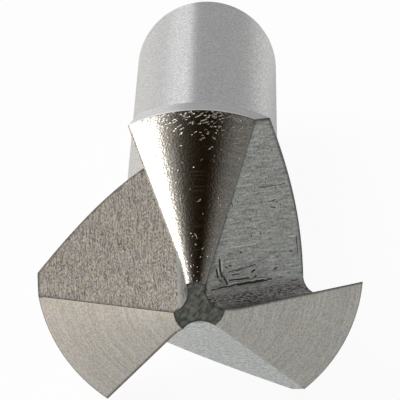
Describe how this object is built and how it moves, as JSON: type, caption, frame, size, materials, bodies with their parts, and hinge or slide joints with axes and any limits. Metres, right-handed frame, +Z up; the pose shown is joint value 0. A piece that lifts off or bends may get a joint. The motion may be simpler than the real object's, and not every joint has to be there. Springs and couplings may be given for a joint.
{
  "type": "countersink bit",
  "caption": "Fluted conical cutter on a plain round shank, for chamfering the mouth of a drilled hole.",
  "frame": {"origin": "on the surface the bit lies on, under the middle of its bounding box", "axes": "+Z up from the surface; +Y along the length from the cutting point to the shank end; +X to the right seen from the point"},
  "size_m": [0.0204, 0.0632, 0.0187],
  "materials": {
    "tool_steel": "ground and satin tool steel, bright on the lands and the shank"
  },
  "bodies": {
    "root": {"countersink_bit": "tool_steel"}
  },
  "joints": []
}
